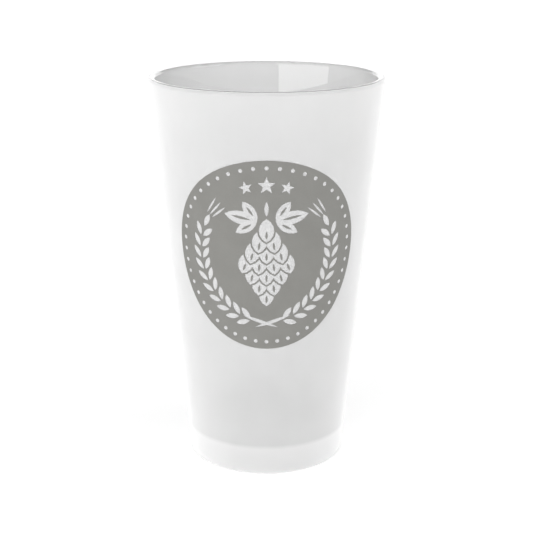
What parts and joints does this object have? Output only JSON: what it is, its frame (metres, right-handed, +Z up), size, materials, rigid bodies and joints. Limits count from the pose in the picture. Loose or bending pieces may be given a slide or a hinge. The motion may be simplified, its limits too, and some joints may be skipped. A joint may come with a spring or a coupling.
{
  "type": "pint glass",
  "caption": "Tapered frosted beer glass with a clear round lip, thick base and printed round badge.",
  "frame": {"origin": "centre of the foot, in the plane that it stands on", "axes": "+Z up along the glass's own axis, -Y through the middle of the printed badge, +X to the right as seen facing the badge"},
  "size_m": [0.0891, 0.0892, 0.1492],
  "materials": {
    "clear_glass": "clear soda-lime glass, glossy, with a fire-polished lip",
    "satin_coat": "fine satin frost, translucent white",
    "grey_ink": "matt warm grey print"
  },
  "bodies": {
    "root": {"glass_body": "clear_glass", "frosted_coat": "satin_coat", "badge_field": "grey_ink", "badge_veins": "grey_ink"}
  },
  "joints": []
}
